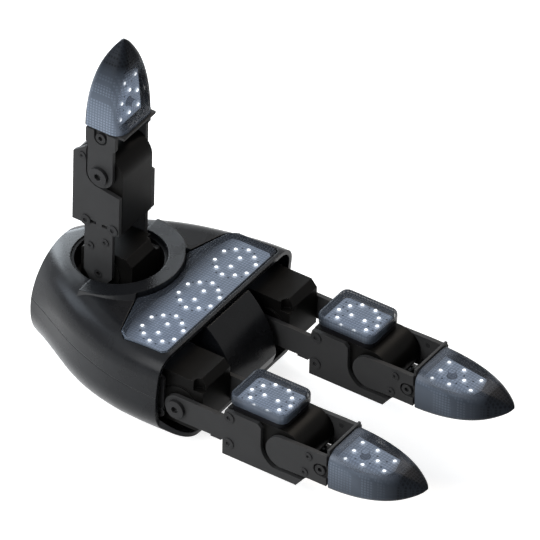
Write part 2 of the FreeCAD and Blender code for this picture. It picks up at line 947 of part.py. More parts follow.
def arm_path(half_top, half_bottom, round_radius, lobe):
    """Yoke arm: round about the middle axis, with a lobe round the tip bolt at its end."""
    end = s.arm_reach
    waist = s.tip_bolt_x - s.notch_radius - s.lobe_lead
    return [
        (ZERO, -round_radius),
        (waist - s.lobe_slope, -half_bottom),
        (waist, -half_bottom - lobe),
        (end, -half_bottom - lobe),
        (end, half_top + lobe),
        (waist, half_top + lobe),
        (waist - s.lobe_slope, half_top),
        (ZERO, round_radius, round_radius, "left"),
        (-round_radius, ZERO, round_radius, "left"),
    ]


def yoke_spans(inner, outer):
    return {"near": (-outer, -inner), "far": (inner, outer)}


def yoke(name, path, small_spots, bolted):
    """Two arms, the thin crossbar that joins them, and the recess of each tip bolt.

    The arms turn on bolts, or where they are smooth outside on bosses at their inner faces.
    """
    pieces = []
    recesses = []
    holes = [(ZERO, ZERO, s.bolt_radius)] if bolted else []
    holes += [(x, z, s.screw_radius) for x, z in small_spots]
    web = s.plate_inner + s.notch_web
    bosses = yoke_spans(s.plate_inner - s.bolt_depth, s.plate_inner + TINY)
    outsides = yoke_spans(web, s.plate_inner + s.plate_thick + TINY)
    for side, (low, high) in plate_spans().items():
        body = new_body(f"{name}_{side}_arm")
        pad(body, f"{name}_{side}_pad", "XZ_Plane", low, high, path, holes)
        pieces.append(body)
        if not bolted:
            pieces.append(cylinder(f"{name}_{side}_boss", "Y", s.bolt_radius, *bosses[side]))
        low, high = outsides[side]
        recesses.append(cylinder(
            f"{name}_{side}_seat", "Y", s.notch_radius, low, high, (s.tip_bolt_x, ZERO)
        ))
        recesses.append(box(
            f"{name}_{side}_mouth", (s.tip_bolt_x, s.arm_reach + TINY), (low, high),
            (-s.notch_radius, s.notch_radius),
        ))
    crossbar = box(
        name + "_crossbar", (s.crossbar_back, s.crossbar_back + s.crossbar_thick),
        (-web, web), (-s.arm_bottom, s.crossbar_top),
    )
    return cut(name, fuse(name + "_solid", crossbar, *pieces), *recesses)


def tip_fasteners(name, small_spots, bolted):
    pieces = []
    seat = s.plate_inner + s.notch_web
    head_high = s.plate_thick - s.notch_web
    for side, word in ((-1, "near"), (1, "far")):
        if bolted:
            pieces.append(bolt(f"{name}_{word}_bolt", side, (ZERO, ZERO)))
        pieces.append(fastener(
            f"{name}_{word}_tip_bolt", side, seat, (s.tip_bolt_x, ZERO), s.tip_bolt_head,
            head_high, s.screw_radius, ZERO, s.screw_socket,
        ))
        for number, spot in enumerate(small_spots):
            pieces.append(small_screw(f"{name}_{word}_small_{number}", side, spot))
    return group(name, *pieces)


# Base motor, in the frame of the joint that it drives

def base_motor(name, back):
    """Motor block with a bevelled nose, round sleeves at its sides and bores for the bolts."""
    body = new_body(name + "_block")
    nose = s.motor_front
    high = s.motor_high
    low = s.motor_low
    path = [
        (-back, -low), (nose - s.motor_bevel_along, -low), (nose, -low + s.motor_bevel_up),
        (nose, high - s.motor_bevel_up), (nose - s.motor_bevel_along, high), (-back, high),
    ]
    half = s.motor_half
    pad(body, name + "_pad", "XZ_Plane", -half, half, path)
    outer = half + s.motor_sleeve
    sleeve = cylinder(name + "_sleeve", "Y", s.sleeve_radius, -outer, outer)
    solid = fuse(name + "_solid", body, sleeve)
    radius = s.bolt_radius + s.bore_gap
    tools = [
        cylinder(name + "_near_bore", "Y", radius, -outer - TINY, s.bolt_depth - outer),
        cylinder(name + "_far_bore", "Y", radius, outer - s.bolt_depth, outer + TINY),
    ]
    recess = (nose - s.recess_back, s.recess_inset - half)
    floor = high - s.recess_depth
    tools.append(cylinder(name + "_recess", "Z", s.recess_radius, floor, high + TINY, recess))
    return cut(name, solid, *tools)


def build_link(prefix, frame, rotation, path, small_spots, slots, pivot):
    """Plates, motor and fasteners between the base joint and the middle joint."""
    spots = link_screw_spots()
    for side in ("near", "far"):
        name = f"{prefix}_{side}_plate"
        body = link_plate(name + "_body", side, path, (*spots, *small_spots), slots)
        publish(body, name, frame, rotation)
    publish(middle_motor(f"{prefix}_middle_motor_cut"), f"{prefix}_middle_motor", frame, rotation)
    pivots = []
    screws = []
    for sign, word in ((-1, "near"), (1, "far")):
        pivots.append(pivot(f"{prefix}_{word}_base_bolt", sign, (ZERO, ZERO)))
        for number, spot in enumerate(spots):
            screws.append(screw(f"{prefix}_{word}_screw_{number}", sign, spot))
        for number, spot in enumerate(small_spots):
            screws.append(small_screw(f"{prefix}_{word}_small_screw_{number}", sign, spot))
    publish(group(prefix + "_bolts", *pivots), f"{prefix}_base_bolts", frame, rotation)
    publish(group(prefix + "_screws", *screws), f"{prefix}_plate_screws", frame, rotation)


def build_tip(prefix, frame, rotation, path, small_spots, bolted):
    """Yoke, core, board, cover and fasteners beyond the middle joint."""
    fork = yoke(prefix + "_yoke_cut", path, small_spots, bolted)
    publish(fork, f"{prefix}_yoke", frame, rotation)
    publish(tip_core(prefix + "_core_fuse"), f"{prefix}_tip_core", frame, rotation)
    publish(tip_board(prefix + "_board_fuse"), f"{prefix}_tip_board", frame, rotation)
    publish(tip_cover(prefix + "_cover_cut"), f"{prefix}_tip_cover", frame, rotation)
    screws = tip_fasteners(prefix + "_tip_screws", small_spots, bolted)
    publish(screws, f"{prefix}_yoke_bolts", frame, rotation)


def finger_frame(side, along_x=0):
    return (s.finger_axis_x + along_x, s.finger_spacing * HALF * side, s.finger_axis_z)


def build_finger(prefix, side):
    frame = finger_frame(side)
    build_link(prefix, frame, None, finger_plate_path(), (), (), bolt)
    publish(pad_base(prefix + "_gasket"), f"{prefix}_pad_base", frame)
    publish(pad_board(prefix + "_pad_sensor"), f"{prefix}_pad_board", frame)
    publish(pad_cover(prefix + "_pad_lens"), f"{prefix}_pad_cover", frame)
    publish(link_tie(prefix + "_tie"), f"{prefix}_link_tie", frame)
    tip_frame = finger_frame(side, s.link_length)
    path = arm_path(s.arm_top, s.arm_bottom, s.arm_round, ZERO)
    build_tip(prefix, tip_frame, None, path, YOKE_SCREWS, False)
    motor_back = s.finger_axis_x - s.wall_x - s.wall_thick
    publish(base_motor(prefix + "_base_motor_cut", motor_back), f"{prefix}_base_motor", frame)
    publish(base_bracket(prefix + "_bracket"), f"{prefix}_base_bracket", frame)


def link_tie(name):
    """Small cross plate under the lower edges of the two plates."""
    body = new_body(name)
    half = s.plate_inner + s.plate_thick * HALF
    path = rectangle(s.tie_x, s.tie_x + s.tie_long, -half, half)
    pad(body, name + "_pad", "XY_Plane", -s.plate_round - s.tie_thick, -s.plate_round, path)
    return body


def base_bracket(name):
    """Two cheeks beside the base motor, screwed to the chassis wall, each with its screw head."""
    back = s.wall_x + s.wall_thick - s.finger_axis_x
    front = s.cheek_front - s.finger_axis_x
    bevel = s.cheek_bevel
    path = [
        (back, -s.cheek_low), (front - bevel, -s.cheek_low), (front, -s.cheek_low + bevel),
        (front, s.cheek_high - bevel), (front - bevel, s.cheek_high), (back, s.cheek_high),
    ]
    inner = s.motor_half + s.motor_sleeve + s.seat_gap
    outer = inner + s.cheek_thick
    spot = (s.cheek_screw_x - s.finger_axis_x, -s.cheek_screw_z)
    cheeks = []
    for sign, word, low, high in ((-1, "near", -outer, -inner), (1, "far", inner, outer)):
        body = new_body(f"{name}_{word}_cheek")
        pad(body, f"{name}_{word}_pad", "XZ_Plane", low, high, path)
        head = fastener(
            f"{name}_{word}_screw", sign, outer, spot, s.screw_head_radius, s.screw_head_height,
            s.screw_radius, s.cheek_thick * HALF, s.screw_socket,
        )
        cheeks.append(fuse(f"{name}_{word}_side", body, head))
    return group(name, *cheeks)


# Thumb: the link frame is turned so that x points up and z points to the fingers

THUMB_TURN = FreeCAD.Rotation(FreeCAD.Vector(1, 0, 1), 180)


def build_thumb():
    frame = (s.thumb_axis_x, 0, s.thumb_axis_z)
    tip_frame = (s.thumb_axis_x, 0, s.thumb_axis_z + s.link_length)
    build_link(
        "thumb", frame, THUMB_TURN, thumb_plate_path(), THUMB_SCREWS, thumb_slots(), flush_pin
    )
    half = s.thumb_arm_half
    path = arm_path(half, half, half, s.thumb_lobe_half - half)
    build_tip("thumb", tip_frame, THUMB_TURN, path, (), True)
    motor_back = s.thumb_axis_z - s.turntable_bottom - s.turntable_thick
    publish(base_motor("thumb_base_motor_cut", motor_back), "thumb_base_motor", frame, THUMB_TURN)
    hub = (s.hub_x, ZERO)
    low = s.turntable_bottom
    high = low + s.turntable_thick
    disc = cylinder("turntable_disc", "Z", s.turntable_radius, low, high, hub)
    pivot = cylinder("turntable_pivot", "Z", s.pivot_radius, low - s.pivot_depth, low + TINY, hub)
    publish(fuse("turntable", disc, pivot), "thumb_turntable")


# Palm shell

def palm_sections(inset):
    sections = []
    for letter in STATION_LETTERS:
        words = {word: getattr(s, f"palm_{word}_{letter}") for word in STATION_WORDS}
        half = words["half"]
        if letter not in WRIST_LETTERS:
            half = half + s.finger_spacing * HALF
        path = section_path(
            half - inset, words["top"] - inset, words["bottom"] - inset,
            words["top_corner"] - inset, words["bottom_corner"] - inset,
        )
        sections.append((words["at"], path))
    return sections


def palm_form(name, inset):
    body = new_body(name)
    loft(body, name + "_loft", "AdditiveLoft", palm_sections(inset))
    return body


def palm_pad_path(gap):
    """Plan of the palm pad: straight front, and a rear edge that gives way to the hub collar."""
    corner = s.pad_corner
    front = s.palm_pad_front + gap
    half = s.palm_pad_half + gap
    radius = s.collar_radius - gap
    return [
        (s.palm_pad_notch_x - gap, -s.palm_pad_notch_y),
        (s.palm_pad_rear_x - gap, -s.palm_pad_rear_y),
        (s.palm_pad_rear_x - gap + corner, -half),
        (front - corner * HALF, -half),
        (front, -half + corner * HALF),
        (front, half - corner * HALF),
        (front - corner * HALF, half),
        (s.palm_pad_rear_x - gap + corner, half),
        (s.palm_pad_rear_x - gap, s.palm_pad_rear_y),
        (s.palm_pad_notch_x - gap, s.palm_pad_notch_y, radius, "right"),
    ]


def collar():
    """Low cone round the hub opening, with a tilted top that sinks into the shell at the rear."""
    cone = doc.addObject("Part::Cone", "collar_cone")
    bind(cone, "Radius1", s.collar_radius + COLLAR_ROOT)
    bind(cone, "Radius2", s.collar_radius - COLLAR_ROOT)
    bind(cone, "Height", 2 * COLLAR_ROOT)
    move(cone, s.hub_x, 0, s.collar_top_z - COLLAR_ROOT)
    reach = REACH
    above = box("collar_above", (-reach, reach), (-reach, reach), (0, reach))
    tilt = FreeCAD.Rotation(FreeCAD.Vector(0, 1, 0), -float(sheet.get("collar_tilt")))
    above.Placement = FreeCAD.Placement(FreeCAD.Vector(), tilt)
    move(above, s.hub_x - reach, -reach, s.collar_top_z - reach * tangent(s.collar_tilt))
    behind = box("collar_behind", (-reach, s.collar_rear_x), (-reach, reach), (-reach, reach))
    return cut("collar_raised", cone, above, behind)


def mouth_space():
    """Everything in front of the shells: a near-upright edge that runs out to a low forward lip."""
    body = new_body("mouth_space")
    reach = REACH
    path = [
        (s.mouth_side_x, s.palm_seam_z), (s.mouth_side_x, -s.mouth_low_z),
        (s.lip_x, -s.lip_low_z), (s.lip_x, -reach), (reach, -reach), (reach, reach),
        (s.mouth_top_x, reach), (s.mouth_top_x, s.palm_top_h),
    ]
    pad(body, "mouth_space_pad", "XZ_Plane", -reach, reach, path)
    return body


def lip_corner_space(word, sign, turn):
    """Space outside one round corner of the lip."""
    body = new_body(f"lip_{word}_space")
    reach = REACH
    path = [
        (s.lip_x, s.lip_half * sign, s.lip_corner_radius, turn),
        (s.mouth_side_x, s.lip_corner_y * sign),
        (s.mouth_side_x, dim(reach) * sign), (reach, dim(reach) * sign), (reach, s.lip_half * sign),
    ]
    pad(body, f"lip_{word}_pad", "XY_Plane", -reach, -s.mouth_low_z, path)
    return body


def palm_shells():
    outer = palm_form("palm_outer", ZERO)
    inner = palm_form("palm_inner", s.palm_wall)
    reach = REACH
    form = fuse("palm_solid", outer, collar())
    opening = cylinder("hub_hole", "Z", s.hub_opening, 0, reach, (s.hub_x, ZERO))
    pad_space = new_body("palm_pad_space")
    pad_path = palm_pad_path(s.palm_pad_gap)
    pad(pad_space, "palm_pad_space_pad", "XY_Plane", s.palm_pad_seat, reach, pad_path)
    corners = [lip_corner_space("near", -1, "right"), lip_corner_space("far", 1, "left")]
    hollow = cut("palm_hollow", form, inner, opening, pad_space, mouth_space(), *corners)
    gap = s.palm_seam_gap * HALF
    upper = box("palm_upper_space", (-1, reach), (-reach, reach), (s.palm_seam_z + gap, reach))
    lower = box("palm_lower_space", (-1, reach), (-reach, reach), (-reach, s.palm_seam_z - gap))
    publish(common("palm_upper", hollow, upper), "palm_upper_shell")
    publish(common("palm_lower", hollow, lower), "palm_lower_shell")


def palm_pad():
    cover = new_body("palm_pad_lens")
    low = s.palm_pad_seat
    high = s.palm_pad_top
    outer = pad(cover, "palm_pad_lens_pad", "XY_Plane", low, high, palm_pad_path(ZERO))
    round_edges(cover, "palm_pad_lens_round", outer, s.pad_edge * HALF, at_height(high.number))
    wall = -s.pad_wall
    pocket(cover, "palm_pad_lens_hollow", "XY_Plane", low, high - s.pad_wall, palm_pad_path(wall))
    publish(cover, "palm_pad_cover")
    board = new_body("palm_board_sheet")
    top = low + s.pad_board_thick
    margin = -s.pad_board_margin
    pad(board, "palm_board_pad", "XY_Plane", low, top, palm_pad_path(margin))
    lamps = []
    for number in (-1, 0, 1):
        centre = (s.palm_led_x, s.palm_led_pitch * number)
        lamps += lamp_boxes(f"palm_group_{number + 1}", PALM_LAMPS, top, centre)
    publish(fuse("palm_board", board, *lamps), "palm_pad_board")


def hub_ring():
    """Dark sleeve inside the hub opening, with a flange under the shell."""
    outer = s.hub_opening - s.bore_gap
    hub = (s.hub_x, ZERO)
    top = s.collar_top_z - s.hub_ring_drop
    sleeve = cylinder("hub_sleeve", "Z", outer, s.hub_ring_bottom, top, hub)
    high = s.palm_top_b - s.palm_wall - 2 * s.seat_gap
    low = high - s.hub_flange_thick
    flange = cylinder("hub_flange", "Z", outer + s.hub_flange_wide, low, high, hub)
    solid = fuse("hub_ring_solid", sleeve, flange)
    bore = cylinder("hub_bore", "Z", outer - s.hub_ring_wall, 0, REACH, hub)
    publish(cut("hub_ring_cut", solid, bore), "hub_ring")


def wrist_flange():
    """Disc that closes the wrist, with a bolt circle, a cable bore and a wide chamfer."""
    body = new_body("flange_body")
    radius = s.palm_half_a - s.palm_wall - s.seat_gap
    disc = new_sketch(body, "flange_outline", "YZ_Plane", ZERO)
    draw_circle(disc, ZERO, ZERO, radius)
    draw_circle(disc, ZERO, ZERO, s.flange_bore)
    feature = body.newObject("PartDesign::Pad", "flange_pad")
    feature.Profile = disc
    bind(feature, "Length", s.flange_thick)
    hole = pocket(
        body, "flange_hole", "YZ_Plane", -TINY, s.flange_thick + TINY,
        holes=[(s.bolt_circle * HALF, ZERO, s.mount_hole)],
    )
    pattern = body.newObject("PartDesign::PolarPattern", "flange_holes")
    pattern.Originals = [hole]
    pattern.Axis = (plane_of(body, "X_Axis"), [""])
    pattern.Angle = 360
    pattern.Occurrences = 4
    body.Tip = pattern
    publish(body, "wrist_flange")


def chassis():
    """Floor plate from the wrist flange to the wall that carries the base motors."""
    low = s.chassis_top - s.chassis_thick
    half = s.chassis_half
    wall_half = s.finger_spacing * HALF + s.motor_half + s.wall_margin
    front = s.wall_x + s.wall_thick
    floor = box("chassis_floor", (s.flange_thick, s.wall_x), (-half, half), (low, s.chassis_top))
    wall = box(
        "chassis_wall", (s.wall_x, front), (-wall_half, wall_half), (s.wall_bottom, s.wall_top)
    )
    foot = box(
        "chassis_foot", (s.wall_x - TINY, front), (-half, half), (low, s.wall_bottom + TINY)
    )
    crest = box(
        "chassis_crest", (s.wall_x, front), (-s.crest_half, s.crest_half),
        (s.wall_top - TINY, s.palm_pad_seat),
    )
    publish(fuse("chassis", floor, wall, foot, crest), "palm_chassis")


def swivel_motor():
    x = s.hub_x
    long = s.swivel_half_length
    wide = s.swivel_half_width
    block = box("swivel_block", (x - long, x + long), (-wide, wide), (s.chassis_top, s.swivel_top))
    low = s.swivel_top - TINY
    high = s.turntable_bottom - s.seat_gap
    boss = cylinder("swivel_boss", "Z", s.sleeve_radius, low, high, (x, ZERO))
    radius = s.pivot_radius + s.bore_gap
    low = s.turntable_bottom - s.pivot_depth - s.seat_gap
    bore = cylinder("swivel_bore", "Z", radius, low, s.turntable_bottom, (x, ZERO))
    solid = fuse("swivel_solid", block, boss)
    publish(cut("swivel_motor", solid, bore), "thumb_swivel_motor")


def control_board():
    """Board on four posts between the swivel motor and the cross wall, with a chip and a plug."""
    rear = s.hub_x + s.swivel_half_length + s.control_rear_gap
    front = s.wall_x - s.control_front_gap
    half = s.chassis_half - s.control_side_gap
    low = s.chassis_top + s.control_post_high
    top = low + s.control_thick
    board = box("control_sheet", (rear, front), (-half, half), (low, top))
    middle = (rear + front) * HALF
    size = s.chip_half
    chip = box(
        "control_chip", (middle - size, middle + size), (-size, size), (top, top + s.chip_high)
    )
    end = front - s.control_side_gap
    plug = box(
        "control_plug", (end - s.plug_long, end), (-s.plug_half, s.plug_half),
        (top, top + s.plug_high),
    )
    inset = s.control_post_radius + s.control_side_gap
    posts = []
    for x_word, x in (("rear", rear + inset), ("front", front - inset)):
        for y_word, y in (("near", -half + inset), ("far", half - inset)):
            posts.append(cylinder(
                f"control_{x_word}_{y_word}_post", "Z", s.control_post_radius, s.chassis_top,
                low + TINY, (x, y),
            ))
    publish(fuse("control", board, chip, plug, *posts), "control_board")


def front_panel():
    """Bowed cover between the finger bays, hollow behind."""
    body = new_body("panel_body")
    back = s.wall_x + s.wall_thick
    half = s.panel_half

    def path(inset):
        return [
            (back, -s.panel_bottom + inset),
            (s.panel_foot_x - inset, -s.panel_bottom + inset),
            (s.panel_nose_x - inset, -s.panel_nose_z, s.panel_radius - inset, "left"),
            (s.panel_top_x - inset, s.panel_top - inset),
            (s.panel_top_x - s.panel_dip_long, s.palm_pad_seat - s.seat_gap - inset),
            (back, s.palm_pad_seat - s.seat_gap - inset),
        ]

    pad(body, "panel_pad", "XZ_Plane", -half, half, path(ZERO))
    wall = s.panel_wall
    pocket(body, "panel_hollow", "XZ_Plane", -half + wall, half - wall, path(wall))
    publish(body, "front_panel")


palm_shells()
palm_pad()
hub_ring()
front_panel()
wrist_flange()
chassis()
swivel_motor()
control_board()
build_thumb()
for finger, side_sign in (("near", -1), ("far", 1)):
    build_finger(finger, side_sign)

doc.recompute()

problems = [obj.Name for obj in doc.Objects if "Invalid" in obj.State or "Error" in obj.State]
for sub_part in nodes:
    if sub_part.Shape.isNull() or not sub_part.Shape.isValid():
        problems.append(sub_part.Label)
if problems:
    raise SystemExit("these did not build: " + ", ".join(problems))

os.makedirs("parts", exist_ok=True)
for sub_part in nodes:
    sub_part.Shape.exportStep(f"parts/{sub_part.Label}.step")
print(len(nodes), "sub-parts written")
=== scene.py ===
import json
import math

import bmesh
import bpy
from mathutils import Matrix, Vector


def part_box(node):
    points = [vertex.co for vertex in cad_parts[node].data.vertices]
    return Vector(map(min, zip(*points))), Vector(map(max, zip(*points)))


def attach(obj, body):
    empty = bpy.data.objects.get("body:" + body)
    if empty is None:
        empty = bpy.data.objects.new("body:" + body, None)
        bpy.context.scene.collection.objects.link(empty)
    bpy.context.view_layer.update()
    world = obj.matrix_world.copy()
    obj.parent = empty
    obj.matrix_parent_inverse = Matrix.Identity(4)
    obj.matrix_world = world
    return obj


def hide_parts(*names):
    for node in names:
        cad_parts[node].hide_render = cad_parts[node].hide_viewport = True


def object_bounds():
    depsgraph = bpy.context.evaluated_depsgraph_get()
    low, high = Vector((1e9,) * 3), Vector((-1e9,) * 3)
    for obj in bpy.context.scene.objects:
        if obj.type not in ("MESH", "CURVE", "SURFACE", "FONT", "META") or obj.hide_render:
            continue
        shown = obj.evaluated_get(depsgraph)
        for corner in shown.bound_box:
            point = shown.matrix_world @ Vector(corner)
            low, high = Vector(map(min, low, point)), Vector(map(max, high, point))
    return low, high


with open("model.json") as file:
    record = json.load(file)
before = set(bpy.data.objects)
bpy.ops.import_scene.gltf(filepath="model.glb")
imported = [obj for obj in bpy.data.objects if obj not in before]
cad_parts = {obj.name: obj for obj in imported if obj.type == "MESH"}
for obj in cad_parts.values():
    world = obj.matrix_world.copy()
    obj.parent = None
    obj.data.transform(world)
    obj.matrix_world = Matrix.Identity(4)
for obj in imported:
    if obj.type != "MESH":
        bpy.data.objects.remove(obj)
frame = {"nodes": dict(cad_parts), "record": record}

# Two-finger-and-thumb robot hand: finishes, lamps under the clear covers, and the studio.
# +X runs out along the fingers, +Z is the palm side. Sizes are in millimetres unless said.

CAD_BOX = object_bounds()
NODES = frame["nodes"]
SLOT_OF = {row["node"]: row["material_slot"] for row in frame["record"]["subparts"]}
PLACE_OF = {row["name"]: Vector(row["pos_m"]) for row in frame["record"]["behaviour"]["joints"]}
MIDDLE_JOINT = {"near": "near_middle", "far": "far_middle", "thumb": "thumb_distal"}
FINGERS = ("near", "far")
TIPS = (*FINGERS, "thumb")

MM = 0.001
AXES = "XYZ"
QUARTER_TURN = math.radians(90.0)
NO_TURN = Matrix.Identity(3)
# Turn from a finger tip's frame to the thumb's, whose length runs up and whose face is forward.
THUMB_TURN = Matrix(((0, 0, 1), (0, -1, 0), (1, 0, 0)))
WHITE = (1.0, 1.0, 1.0)

# Camera: where the photograph's camera stands, and what it frames.
AZIMUTH = math.radians(33.0)
ELEVATION = math.radians(38.4)
ROLL = math.radians(1.3)
VIEW_WIDTH = 198.2
LENS = 1500.0
SENSOR = 36.0
TARGET = (59.4, 48.3, 0.0)
CLIP_START_M = 0.1

# Sizes shared with the CAD part.
TIP_BASE = 20.3
TIP_BOARD_LEVEL = 4.3
LAMP_BLOCK_HIGH = 0.5
PALM_LAMP_X = 60.2
PALM_LAMP_PITCH = 23.7

# Lamps (u, v) from the middle of their group, or for a tip from its base, and the dark chips
# and screw holes between them. Each stands at both signs of v, and but for a tip also of u.
PAD_LAMPS = ((2.9, 7.2), (6.3, 4.2), (8.4, 0.0), (2.9, 0.0))
PAD_MARKS = ((5.0, 6.9), (8.2, 2.6), (0.0, 7.6), (8.9, 5.6), (5.6, 1.6))
PALM_LAMPS = ((0.0, 8.7), (4.1, 6.4), (7.0, 3.0), (0.0, 3.0))
PALM_MARKS = ((2.6, 8.6), (6.4, 5.4))
TIP_LAMPS = ((3.6, 0.0), (3.6, 5.7), (10.6, 5.0), (13.9, 0.0), (19.1, 3.5))
TIP_MARKS = ((6.4, 3.2), (12.2, 2.6), (16.6, 1.9))
TIP_PEG = (8.6, 0.0)
PEG_FOOT_RADIUS = 1.75

# Lenses of the lamps.
LAMP_RADIUS = 0.70
LAMP_HIGH = 0.34
LAMP_SIDES = 16
LAMP_RINGS = 4

# Dark filler pieces that close a finger against the floor, so its gaps show shade: painted shade.
# They are outlines (along, up) in the frame of its middle joint: one under the drum and one
# between the arms of the fork.
SHADE_TRAY = (
    (-4.0, -11.3), (6.2, -11.3), (9.6, -8.4), (9.6, -5.8),
    (8.9, -5.2), (8.2, -5.9), (5.4, -8.8), (-4.0, -9.6),
)
SHADE_WEB = ((10.2, -6.1), (19.0, -6.1), (19.0, -5.1), (11.2, -5.1))
INNER_HALF = 9.8
INNER_ROUND = 0.25

# Pad covers: the CAD shell again with smooth round corners, and with room for the arms of the
# fork, which pass close by its sides when the tip curls.
PAD_CORNER = 3.2
PAD_EDGE = 1.5
PAD_WALL = 1.2
ARM_ROOM = 0.1
CORNER_STEPS = 8

# Noises: scale and detail.
SOLID_CLOUD = (90.0, 4.0)
EDGE_WEAR_AND_HIGHLIGHT = (260.0, 2.0)
COVER_CLOUD = (160.0, 3.0)
BOARD_CLOUD = (220.0, 4.0)
PAPER_CLOUD = (3.0, 2.0)
GRAIN_DETAIL = 5.0

# Solid finishes by slot. An edge value lifts the colour of the edges: partly worn, partly a painted
# highlight.
SOLIDS = {
    "shell_black": {
        "dark": (0.0055, 0.006, 0.0072), "light": (0.0080, 0.0087, 0.0102), "rough": 0.27,
        "grain": 2400.0, "depth": 0.005, "gloss": 0.13, "edge": 0.02, "edge_width": 0.5,
    },
    "ring_black": {
        "dark": (0.003, 0.003, 0.0035), "light": (0.005, 0.005, 0.0055), "rough": 0.42,
        "grain": 2000.0, "depth": 0.006, "gloss": 0.05,
    },
    "flange_metal": {
        "dark": (0.02, 0.02, 0.021), "light": (0.03, 0.03, 0.032), "rough": 0.4,
        "grain": 2600.0, "depth": 0.006, "metal": 0.6,
    },
    "chassis_metal": {
        "dark": (0.008, 0.008, 0.008), "light": (0.012, 0.012, 0.012), "rough": 0.5,
        "grain": 2600.0, "depth": 0.006, "gloss": 0.1,
    },
    "board_green": {
        "dark": (0.008, 0.04, 0.02), "light": (0.012, 0.06, 0.03), "rough": 0.45,
        "grain": 1500.0, "depth": 0.01,
    },
    "motor_black": {
        "dark": (0.0035, 0.0034, 0.0032), "light": (0.0055, 0.0053, 0.0050), "rough": 0.38,
        "grain": 2200.0, "depth": 0.005, "gloss": 0.045, "edge": 0.02, "edge_width": 0.3,
    },
    "plate_grey": {
        "dark": (0.028, 0.028, 0.0285), "light": (0.035, 0.035, 0.0355), "rough": 0.55,
        "grain": 3200.0, "depth": 0.008, "gloss": 0.1,
    },
    "bolt_grey": {
        "dark": (0.016, 0.016, 0.0165), "light": (0.026, 0.026, 0.027), "rough": 0.38,
        "grain": 3000.0, "depth": 0.006, "gloss": 0.12, "edge": 0.05, "edge_width": 0.2,
        "metal": 0.15,
    },
    "tip_metal": {
        "dark": (0.010, 0.011, 0.014), "light": (0.016, 0.018, 0.022), "rough": 0.4,
        "grain": 2600.0, "depth": 0.006, "gloss": 0.1,
    },
    "gasket_black": {
        "dark": (0.004, 0.004, 0.005), "light": (0.007, 0.007, 0.008), "rough": 0.6,
        "grain": 1800.0, "depth": 0.01, "gloss": 0.05,
    },
    "bracket_grey": {
        "dark": (0.016, 0.016, 0.0165), "light": (0.022, 0.022, 0.023), "rough": 0.45,
        "grain": 2800.0, "depth": 0.006, "gloss": 0.12,
    },
}
ROUGH_LOW = -0.04
ROUGH_HIGH = 0.05
WEAR_AND_HIGHLIGHT_SHARE = (0.25, 0.75)
BEVEL_SAMPLES = 4
BEVEL_MASK = (0.75, 0.99)

# Clear covers. A pair "by level" holds the value on a side face and that on a face that looks
# up. An "edge" holds the two distances between which a painted shade sets in. A veil is how
# solid the cover looks, and a painted shade how dark it is painted where little light falls.
GRID_PITCH = 1.2
GRID_WIDTH = 0.42
# Grid line colour in the light, and darker inside the painted shade.
GRID_PALE = (0.045, 0.055, 0.072)
GRID_DARK = (0.020, 0.024, 0.031)
GRID_SHARE_BY_LEVEL = (0.55, 0.30)
GRID_VEIL = 0.15
GRID_RISE = 0.01
UP_FACING = (0.25, 0.9)
# Wall colour on the sides and facing up, a little lighter facing up: painted light.
COVER_SIDE = (0.125, 0.152, 0.195)
COVER_TOP = (0.13, 0.155, 0.20)
# Colour of the painted shade on the covers.
COVER_PAINTED_SHADE = (0.006, 0.007, 0.009)
COVER_VEIL_BY_LEVEL = (0.88, 0.10)
COVER_MOTTLE = 0.02
COVER_ROUGH = (0.32, 0.42)
COVER_SHINE = 0.2
# Painted shade on the far side of a cover.
FAR_SHADE_EDGE = (-1.0, 2.0)
# Painted shade at the rear of a pad's cover.
REAR_SHADE_EDGE = (-9.0, -5.0)
REAR_PAINTED_SHADE = 0.7
FROST_EDGE = (1.5, 7.0)
FROST_VEIL = 0.4
# Painted shade at a tip's apex, where its hollow is dark.
APEX_START_BY_LEVEL = (8.0, 20.5)
APEX_FADE_BY_LEVEL = (20.0, 7.0)
APEX_SHADE_VEIL = 0.85
APEX_SHINE = 0.04
# Painted shade low on a finger tip's sides.
LOW_SHADE_EDGE = (-7.0, 3.0)
LOW_PAINTED_SHADE = 0.5
# The thumb's side walls are painted lighter, as lit from the front.
THUMB_PAINTED_LIGHT = 1.35

# Boards. A "share" is how much of a shade shows at its strongest.
BOARD_DARK = (0.32, 0.385, 0.50)
BOARD_LIGHT = (0.38, 0.455, 0.58)
# Boards glow though they are no lamps: painted light.
BOARD_PAINTED_GLOW = 0.60
BOARD_ROUGH = (0.4, 0.55)
BOARD_RISE = 0.02
TRACK_SHADE = (0.16, 0.20, 0.27)
TRACK_SHARE = 0.25
TRACK_PITCH = 1.5
TRACK_WIDTH = 0.12
# Painted light round the lamps on a board.
HALO_PAINTED_LIGHT = (0.75, 0.82, 0.92)
HALO_SHARE = 0.95
HALO_EDGE = (0.6, 2.1)
MARK_SHADE = (0.015, 0.018, 0.024)
MARK_SHARE = 0.9
MARK_EDGE = (0.32, 0.46)
# Colour of a painted shadow on a board.
SHADOW_SHADE = (0.012, 0.013, 0.016)
PALM_REAR_EDGE = (48.0, 56.5)
PEG_SHADE = (0.03, 0.036, 0.048)
PEG_SHARE = 0.85
PEG_EDGE = (0.12, 0.42)

# Light of the lamps, weaker where their lens turns away.
LAMP_BODY = (0.8, 0.8, 0.8)
LAMP_LIGHT = (0.92, 0.96, 1.0)
LAMP_ROUGH = 0.3
LAMP_GLOW = 2.4
LAMP_RIM_GLOW = 0.6 * LAMP_GLOW
LAMP_RIM = (0.2, 0.9)
LAMP_RIM_BLEND = 0.4

